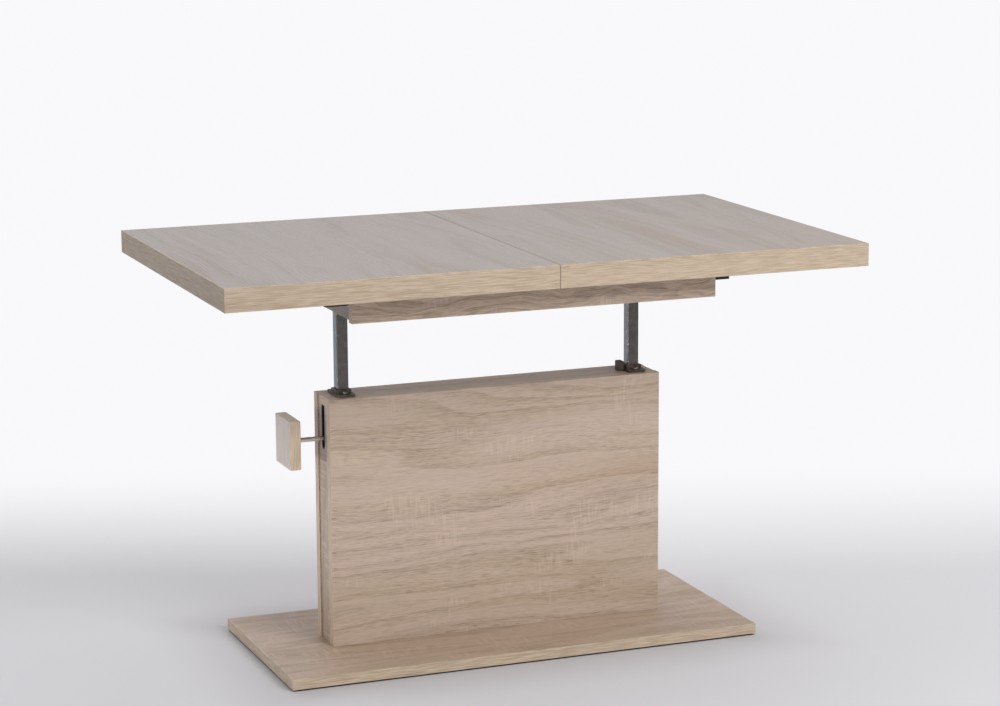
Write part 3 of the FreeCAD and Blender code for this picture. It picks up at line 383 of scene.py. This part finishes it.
dress(oak_board("foot_oak", "x", "y", 4.2, FOOT_TONES, marks=0.20), "base_board")
dress(oak_band("foot_band_oak", 1.0), "base_edge_bands")


# Bolts under the foot
# Countersunk zinc-plated steel bolts with a six-sided socket. They are driven from below through the foot
# board into the column's rails.
def plated(name, dark, light, rough, lay):
    """Plated steel: bright metal with drawn lines and a faint cloudy stain."""
    material, shader, place = finish(name)
    shader.inputs["Metallic"].default_value = 1.0
    stain = cloud(place, (90, 90, 90), 3.0)
    line = cloud(place, lay)
    feed(shader, "Base Color", mix(ease(stain, 0.3, 0.7), dark, light))
    feed(shader, "Roughness", rough + 0.14 * line + 0.10 * stain)
    relief(shader, line, 0.000006, 0.5)
    return material


def fastener(rows, recess, across, depth):
    """Screw whose head faces up at the origin: a cross or six-sided recess, then rings down to the point."""
    form = bmesh.new()
    if recess == "cross":
        cells = 5
        cell = across / cells
        bmesh.ops.create_grid(form, x_segments=cells, y_segments=cells, size=across / 2)
        centres = [(face, face.calc_center_median()) for face in form.faces]
        sunk = [face for face, spot in centres if min(abs(spot.x), abs(spot.y)) < cell / 2
                and max(abs(spot.x), abs(spot.y)) < 1.5 * cell]
    else:
        bmesh.ops.create_circle(form, cap_ends=True, segments=6, radius=across / 2)
        bmesh.ops.subdivide_edges(form, edges=list(form.edges), cuts=3)
        sunk = list(form.faces)
    inner = [edge for edge in form.edges if len(edge.link_faces) == 1]
    radius, height = rows[0]
    rim = bmesh.ops.create_circle(form, segments=len(inner), radius=radius)["verts"]
    bmesh.ops.translate(form, vec=(0.0, 0.0, height), verts=rim)
    outer = [edge for edge in form.edges if not edge.link_faces]
    bmesh.ops.bridge_loops(form, edges=inner + outer)
    point = ringed(form, outer, rows[1:])
    bmesh.ops.contextual_create(form, geom=point)
    grown = bmesh.ops.extrude_face_region(form, geom=sunk)["geom"]
    bmesh.ops.delete(form, geom=sunk, context="FACES")
    floor_of_recess = [part for part in grown if isinstance(part, bmesh.types.BMVert)]
    bmesh.ops.translate(form, vec=(0.0, 0.0, -depth), verts=floor_of_recess)
    bmesh.ops.scale(form, vec=(0.85, 0.85, 1.0), verts=floor_of_recess)
    return form


zinc = plated("zinc_steel", (0.46, 0.46, 0.47, 1), (0.62, 0.62, 0.63, 1), 0.24, (900, 900, 900))
bolt_boxes = loose_boxes("base_bolts")
bolt_low, bolt_high = bolt_boxes[0]
bolt_length = bolt_high.z - bolt_low.z
bolt_head = (bolt_high.x - bolt_low.x) / 2
bolt_shank = bolt_head / 2
bolt_rim = 0.0006
bolt_tip = 0.0015
bolt = fastener([
    (0.92 * bolt_head, 0.0),
    (bolt_head, -bolt_rim),
    (bolt_shank, bolt_shank - bolt_head - bolt_rim),
    (bolt_shank, bolt_tip - bolt_length),
    (0.6 * bolt_shank, -bolt_length),
], "socket", across=0.9 * bolt_head, depth=0.003)
bolts = stand(bolt, seats(bolt_boxes, -1))
fit("foot_bolts", bolts, zinc, "base_bolts", "pedestal")

# Column panels
# Two long decor boards with horizontal figure, and two narrow ends with upright figure set back between
# them. The ends' tones are the decor's darkened by a painted shade, and they have clearer saw marks. A top
# rail closes the column, and two beech rails inside hold the bolts from the foot.
dress(oak_board("column_front_oak", "x", "z", 1.7), "pedestal_front_panel")
dress(oak_board("column_back_oak", "x", "z", 7.9), "pedestal_back_panel")
# Painted shade: the ends' tones are the decor's made darker.
SHADED_SIDE_TONES = [scaled(tone, 0.88) for tone in DECOR_TONES]
for side, shift in (("left", 2.4), ("right", 12.4)):
    side_oak = oak_board("column_" + side + "_oak", "z", "y", shift, SHADED_SIDE_TONES, marks=0.26, ticks=0.55)
    dress(side_oak, "pedestal_" + side + "_end")
dress(oak_board("column_rail_oak", "x", "y", 9.1), "pedestal_top_rail")


def beech(name):
    """Raw beech: pale brown with short fine flecks along the grain."""
    material, shader, place = finish(name)
    fleck = cloud(place, (60.0, 700.0, 700.0))
    slow = cloud(place, (3.0, 60.0, 60.0), 2.0, 3.0)
    tone = mix(ease(slow, 0.3, 0.7), (0.50, 0.34, 0.19, 1), (0.62, 0.45, 0.28, 1))
    feed(shader, "Base Color", mix(0.5 * ease(fleck, 0.55, 0.72), tone, (0.36, 0.22, 0.11, 1)))
    feed(shader, "Roughness", 0.62 + 0.12 * fleck)
    relief(shader, fleck, 0.0001, 0.5)
    return material


beech_wood = beech("raw_beech")
dress(beech_wood, "pedestal_bottom_rails")

# Slot liner, guide bushes and buffers
# The liner of the handle's slot and the guides low in the column are moulded in black plastic, and the
# flanged bushes that the tubes slide in are dark brown. The block that the lift lands on and the handle's
# stop are brown rubber. Both browns are lighter than the parts' own: painted light against the shade
# they sit in.
dress(black_plastic, "slot_liner", "lower_guides")
# Painted light: these browns are lighter than the mouldings' own tones.
brown_plastic_painted_light = moulded("brown_plastic_painted_light", (0.085, 0.068, 0.055, 1), (0.125, 0.102, 0.084, 1), 0.38, 0.00006)
dress(brown_plastic_painted_light, "left_guide_bush", "right_guide_bush")
rubber = moulded("brown_rubber_painted_light", (0.085, 0.067, 0.055, 1), (0.115, 0.093, 0.077, 1), 0.62, 0.00012)
dress(rubber, "rest_buffer", "lever_stop_buffer")


def wood_screw(box, across, head_height, shank=0.002):
    """Cross-recessed screw as long as a packed one, with a domed head and a pointed shank."""
    length = max(box[1] - box[0])
    head = min(box[1] - box[0]) / 2
    tip_length = 0.003
    tip_radius = 0.0003
    return fastener([
        (0.72 * head, 0.0),
        (0.9 * head, -0.25 * head_height),
        (head, -0.6 * head_height),
        (head, -head_height),
        (shank, -head_height),
        (shank, tip_length - length),
        (tip_radius, -length),
    ], "cross", across, 0.55 * head_height)


bush_boxes = loose_boxes("guide_bush_screws")
bush_screw = wood_screw(bush_boxes[0], across=0.0046, head_height=0.003)
bush_screws = stand(bush_screw, seats(bush_boxes, 1))
fit("bush_screws", bush_screws, zinc, "guide_bush_screws", "pedestal")

# Lift tubes and the bars they carry
# Square steel tubes, polished and bright-plated, with black coated flat bars bolted and welded to them:
# a crossbar inside the column and a head bar under the top on each side.
bright_tube = plated("bright_tube", (0.25, 0.237, 0.224, 1), (0.31, 0.294, 0.278, 1), 0.12, (1600, 1600, 12))
dress(bright_tube, "left_lift_tube", "right_lift_tube")


def coated(name, dark, light, rough):
    """Powder-coated steel: orange-peel skin and a faint cloudy shade."""
    material, shader, place = finish(name)
    peel = cloud(place, (420, 420, 420))
    patch = cloud(place, (25, 25, 25), 2.0, 3.0)
    feed(shader, "Base Color", mix(ease(patch, 0.3, 0.7), dark, light))
    feed(shader, "Roughness", rough + 0.14 * peel)
    relief(shader, peel, 0.00008, 0.7)
    return material


black_coat = coated("black_coat", (0.022, 0.022, 0.023, 1), (0.040, 0.040, 0.041, 1), 0.34)
dress(black_coat, "lift_crossbar", "left_head_bar", "right_head_bar")
dress(zinc, "crossbar_bolts")
bar_boxes = loose_boxes("head_bar_screws")
bar_places = []
for low, high in bar_boxes:
    side = math.copysign(1.0, low.y)
    inner_end = low.y if side > 0 else high.y
    bar_places.append((Vector(((low.x + high.x) / 2, inner_end, (low.z + high.z) / 2)), (0, -side, 0)))
bar_screw = wood_screw(bar_boxes[0], across=0.0036, head_height=0.002)
bar_screws = stand(bar_screw, bar_places)
fit("bar_screws", bar_screws, zinc, "head_bar_screws", "lift")

# Gas spring
# Lockable gas spring upright in the column: black cylinder carried by the crossbar, bright ground rod
# held at the foot in a release head, each end on a steel pin in a bracket.
bright_rod = plated("bright_rod", (0.55, 0.55, 0.56, 1), (0.66, 0.66, 0.67, 1), 0.10, (1200, 1200, 40))
dress(bright_rod, "gas_spring_piston_rod")
dress(black_coat, "gas_spring_cylinder", "gas_spring_top_bracket", "gas_spring_foot", "release_head")
dress(zinc, "gas_spring_top_pin", "gas_spring_foot_pin")

# Release handle and its cable
# Square of decor board on a bright steel rod that goes in through the slot to a pivot pin. Lifting it pulls
# the wire in a black sheath, which is held by an anchor and two clips and ends at the release head.
# Tones of the handle, paler and greyer than the decor's: partly its own pale board, partly a painted sheen.
HANDLE_TONES_WITH_SHEEN = ((0.700, 0.608, 0.545, 1), (0.665, 0.575, 0.495, 1), (0.515, 0.425, 0.350, 1),
                (0.655, 0.545, 0.455, 1))
dress(oak_board("handle_oak", "z", "y", 15.3, HANDLE_TONES_WITH_SHEEN, gloss=0.36, force=0.6), "handle_block")
handle_rod = plated("handle_rod", (0.88, 0.88, 0.89, 1), (0.95, 0.95, 0.95, 1), 0.16, (40, 1400, 1400))
dress(handle_rod, "release_lever")
dress(zinc, "lever_pivot_pin", "release_wire")
dress(black_coat, "cable_anchor")
dress(black_plastic, "release_cable", "cable_clips")

# Apron
# Frame of four decor boards under the top, the ends set in between the long ones and notched for the
# tracks. It is screwed to the head bars and hides the tracks and the folded leaf.
# Tones of the front board, paler than the decor's: painted light that lifts it out of the shade under the
# top.
APRON_TONES_WITH_PAINTED_LIGHT = ((0.760, 0.615, 0.495, 1), (0.680, 0.535, 0.390, 1), (0.360, 0.258, 0.178, 1),
               (0.590, 0.415, 0.290, 1))
# Painted shade: the ends' tones are the decor's made darker, as in the shade under the top.
SHADED_END_TONES = [scaled(tone, 0.76) for tone in DECOR_TONES]
dress(oak_board("apron_front_oak", "x", "z", 21.6, APRON_TONES_WITH_PAINTED_LIGHT, force=1.15, marks=0.06, loops=3.0),
      "apron_front")
dress(oak_board("apron_back_oak", "x", "z", 23.2), "apron_back")
dress(oak_board("apron_left_oak", "y", "z", 25.1, SHADED_END_TONES), "apron_left_end")
dress(oak_board("apron_right_oak", "y", "z", 27.8, SHADED_END_TONES), "apron_right_end")

# Tracks and runners
# Drawn aluminium tracks with two grooves each, and black steel runners that slide in them and are screwed
# to the undersides of the two halves.
aluminium = plated("drawn_aluminium", (0.58, 0.58, 0.59, 1), (0.68, 0.68, 0.69, 1), 0.30, (10, 1500, 1500))
dress(aluminium, "front_slide_track", "back_slide_track")
dress(black_coat, "left_front_runner", "left_back_runner", "right_front_runner", "right_back_runner")
for side in ("left", "right"):
    runner_boxes = loose_boxes(side + "_runner_screws")
    runner_screw = wood_screw(runner_boxes[0], across=0.0036, head_height=0.0018)
    runner_screws = stand(runner_screw, seats(runner_boxes, -1))
    fit(side + "_track_screws", runner_screws, zinc, side + "_runner_screws", "top_" + side)

# Folded leaf
# Two decor panels folded on each other, lying on two black bars. Two zinc-plated steel butt hinges join
# them at the back, each with five knuckles on a pin and four screws.
# Tones of the top, also used for the leaf: the decor's made greyer by a painted sheen of the pale room seen
# at a slant, and darker by a painted shade.
TOP_TONES_WITH_SHEEN_AND_SHADE = ((0.492, 0.412, 0.358, 1), (0.440, 0.362, 0.290, 1), (0.302, 0.232, 0.180, 1),
             (0.440, 0.318, 0.242, 1))
dress(oak_board("leaf_lower_oak", "y", "x", 31.0, TOP_TONES_WITH_SHEEN_AND_SHADE, gloss=0.30, force=0.6), "leaf_lower_panel")
dress(oak_board("leaf_upper_oak", "y", "x", 34.5, TOP_TONES_WITH_SHEEN_AND_SHADE, gloss=0.30, force=0.6), "leaf_upper_panel")
dress(black_coat, "leaf_support_bars")
plate_thick = 0.0015
plate_corner = 0.003
knuckle_count = 5
knuckle_gap = 0.0006
pin_radius = 0.0016
screw_inset = 0.0045
screw_proud = 0.0004
head_radius = 0.0026


def round_bar(form, spot, radius, length, sides):
    """Round bar along X, with its middle at a point."""
    lie = Matrix.Translation(spot) @ Matrix.Rotation(math.pi / 2, 4, "Y")
    bmesh.ops.create_cone(form, cap_ends=True, segments=sides, radius1=radius, radius2=radius, depth=length,
                          matrix=lie)


hinges = bmesh.new()
hinge_places = []
for low, high in loose_boxes("leaf_hinges"):
    middle = (low + high) / 2
    size = high - low
    plate_spot = Matrix.Translation((middle.x, low.y + plate_thick / 2, middle.z))
    plate_size = Matrix.Diagonal((size.x, plate_thick, size.z, 1.0))
    plate = bmesh.ops.create_cube(hinges, size=1.0, matrix=plate_spot @ plate_size)["verts"]
    corners = [edge for edge in {edge for vert in plate for edge in vert.link_edges}
               if abs(edge.verts[0].co.y - edge.verts[1].co.y) > plate_thick / 2]
    bmesh.ops.bevel(hinges, geom=corners, offset=plate_corner, affect="EDGES", segments=4, profile=0.5,
                    material=-1)
    knuckle_step = size.x / knuckle_count
    for count in range(knuckle_count):
        knuckle = Vector((low.x + (count + 0.5) * knuckle_step, middle.y, middle.z))
        round_bar(hinges, knuckle, size.y / 2, knuckle_step - knuckle_gap, 24)
    round_bar(hinges, middle, pin_radius, size.x, 20)
    for share in (0.2, 0.8):
        for height in (low.z + screw_inset, high.z - screw_inset):
            head = Vector((low.x + share * size.x, low.y + plate_thick + screw_proud, height))
            hinge_places.append((head, (0, 1, 0)))
hinge_screw = fastener([
    (0.0018, 0.0),
    (head_radius, -0.0003),
    (head_radius, -0.0008),
    (0.0015, -0.0012),
], "cross", across=head_radius, depth=0.0005)
stand(hinge_screw, hinge_places, hinges)
fit("leaf_hinge_pair", hinges, zinc, "leaf_hinges", "lift")

# Top halves
# Two thick decor boards that meet at a seam, with bands round all their edges. The figure runs across the
# table, parallel to the seam, and three beech dowels line the halves up.
for side, board_shift, band_shift in (("left", 41.3, 2.0), ("right", 44.9, 3.0)):
    top_oak = oak_board("top_" + side + "_oak", "y", "x", board_shift, TOP_TONES_WITH_SHEEN_AND_SHADE, gloss=0.29, force=0.24,
                        pores=9.0)
    dress(top_oak, "top_" + side + "_board")
    dress(oak_band("top_" + side + "_band_oak", band_shift, TOP_TONES_WITH_SHEEN_AND_SHADE[1]), "top_" + side + "_edge_bands")
dress(beech_wood, "seam_dowels")

# Floor
# Pale matt studio floor, a disc that turns white away from the table and behind it as the camera sees it.
# Right under the foot its colour is a painted shadow. A faint painted glow lifts the rest of the floor
# and its shadows, and fades out round the foot, which leaves a painted soft shade there.
BACKDROP = (0.945, 0.945, 0.965, 1)
ROOM_DARK = (0.27, 0.265, 0.26, 1)
MIRROR_BACK = (0.53, 0.59, 0.69, 1)
FLOOR_TONE = (0.690, 0.683, 0.713, 1)
PAINTED_FOOT_SHADOW = (0.06, 0.055, 0.05, 1)
FLOOR_RADIUS = 14.0
CAMERA_YAW = math.radians(21.45)


def ray(shade, kind):
    """1 for rays of a kind and 0 for all others."""
    return shade.add("ShaderNodeLightPath", {}, {}, kind)


floor_mesh = bpy.data.meshes.new("floor")
disc = bmesh.new()
bmesh.ops.create_circle(disc, cap_ends=True, segments=96, radius=FLOOR_RADIUS)
disc.to_mesh(floor_mesh)
disc.free()
floor = bpy.data.objects.new("floor", floor_mesh)
bpy.context.scene.collection.objects.link(floor)
floor_paint, floor_shader, ground = finish("floor_paint")
floor_shader.inputs["Roughness"].default_value = 0.9
floor_shader.inputs["Specular IOR Level"].default_value = 0.1
across = spot_on(ground, "x")
back = spot_on(ground, "y")
away = ground.add("ShaderNodeVectorMath", {"operation": "LENGTH"}, {0: ground}, "Value")
farther = math.sin(CAMERA_YAW) * across + math.cos(CAMERA_YAW) * back
foot_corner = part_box("base_edge_bands")[1]
beside = ground.maths("MAXIMUM", ground.maths("ABSOLUTE", across) - foot_corner[0],
                      ground.maths("ABSOLUTE", back) - foot_corner[1])
# Painted shadow: inside the foot's outline the floor's colour is near black.
feed(floor_shader, "Base Color", mix(ease(beside, -0.004, 0.0), PAINTED_FOOT_SHADOW, FLOOR_TONE))
glossy = ray(ground, "Is Glossy Ray")
direct = ray(ground, "Is Camera Ray") + glossy + ray(ground, "Is Transmission Ray")
seen = ground.maths("MINIMUM", direct, 1.0)
mirrored_floor = mix(ease(back, -1.2, 1.2), ROOM_DARK, MIRROR_BACK)
white = ground.add("ShaderNodeEmission", {}, {"Color": mix(glossy, BACKDROP, mirrored_floor)})
# Share of white: a faint painted glow that lifts the floor and its shadows, fading out near the foot so that
# a painted soft shade is left round it, and the white backdrop farther out.
glow_and_backdrop_share = 0.22 * ease(beside, -0.02, 0.16) + 0.78 * ease(away, 0.9, 1.9)
white_share = seen * ground.maths("MAXIMUM", glow_and_backdrop_share, ease(farther, 0.0, 1.25))
painted = Shade(ground.tree, floor_shader.outputs["BSDF"])
floor_mix = ground.add("ShaderNodeMixShader", {}, {0: white_share, 1: painted, 2: white})
feed(ground.tree.nodes["Material Output"], "Surface", floor_mix)
floor_mesh.materials.append(floor_paint)

# Studio light
# White backdrop all round for the camera, a dimmer room for the light on the table, a large soft lamp in
# front on the right, and weaker ones on the left, above and behind.
ROOM_PALE = (0.92, 0.925, 0.95, 1)
ROOM_WARM = (0.80, 0.785, 0.775, 1)
MIRROR_WARM = (0.44, 0.455, 0.475, 1)
world = bpy.data.worlds.new("studio")
bpy.context.scene.world = world
world.use_nodes = True
sky = Shade(world.node_tree)
way = sky.add("ShaderNodeTexCoord", {}, {}, "Generated")
to_right = ease(spot_on(way, "x"), 0.10, 0.60)
to_back = ease(spot_on(way, "y"), -0.5, 0.6)
room_tone = mix(to_back, ROOM_DARK, mix(to_right, ROOM_PALE, ROOM_WARM))
mirror_tone = mix(to_back, ROOM_DARK, mix(to_right, MIRROR_BACK, MIRROR_WARM))
light = sky.add("ShaderNodeBackground", {}, {"Color": room_tone, "Strength": 0.75})
mirror = sky.add("ShaderNodeBackground", {}, {"Color": mirror_tone, "Strength": 1.0})
backdrop = sky.add("ShaderNodeBackground", {}, {"Color": BACKDROP, "Strength": 1.0})
lit = sky.add("ShaderNodeMixShader", {}, {0: ray(sky, "Is Glossy Ray"), 1: light, 2: mirror})
shown = sky.add("ShaderNodeMixShader", {}, {0: ray(sky, "Is Camera Ray"), 1: lit, 2: backdrop})
feed(world.node_tree.nodes["World Output"], "Surface", shown)


def softbox(name, spot, target, width, height, power, spread=180.0, mirrored=True):
    """Soft rectangular lamp that faces a point."""
    lamp = bpy.data.lights.new(name, "AREA")
    lamp.shape = "RECTANGLE"
    lamp.size = width
    lamp.size_y = height
    lamp.energy = power
    lamp.spread = math.radians(spread)
    holder = bpy.data.objects.new(name, lamp)
    holder.location = spot
    holder.rotation_euler = (Vector(target) - Vector(spot)).to_track_quat("-Z", "Y").to_euler()
    holder.visible_glossy = mirrored
    bpy.context.scene.collection.objects.link(holder)


softbox("front_lamp", (1.3, -3.5, 2.7), (0.0, 0.0, 0.35), width=2.4, height=2.0, power=116.0, mirrored=False)
softbox("left_lamp", (-2.6, -0.9, 0.2), (-0.35, 0.0, 0.24), width=0.8, height=0.3, power=0.36, spread=14.0)
softbox("top_lamp", (0.3, 0.4, 3.2), (0.0, 0.0, 0.0), width=3.0, height=2.4, power=14.0)
softbox("back_lamp", (-0.6, 3.6, 1.6), (0.0, 0.0, 0.35), width=2.4, height=1.6, power=30.0, mirrored=False)

# Camera
# Long lens in front on the left, a little above the top, as in the photograph. It looks down and leans
# very slightly to one side.
CAMERA_SPOT = (-1.7184, -4.4256, 1.4359)
CAMERA_DOWN = math.radians(11.259)
CAMERA_LEAN = math.radians(0.317)
lens = bpy.data.cameras.new("camera")
lens.sensor_width = 36.0
lens.lens = 103.13
camera = bpy.data.objects.new("camera", lens)
camera.location = CAMERA_SPOT
turn = Matrix.Rotation(-CAMERA_YAW, 4, "Z")
tilt = Matrix.Rotation(math.pi / 2 - CAMERA_DOWN, 4, "X")
roll = Matrix.Rotation(-CAMERA_LEAN, 4, "Z")
camera.rotation_euler = (turn @ tilt @ roll).to_euler()
bpy.context.scene.collection.objects.link(camera)
bpy.context.scene.camera = camera
bpy.context.scene.view_settings.view_transform = "Standard"
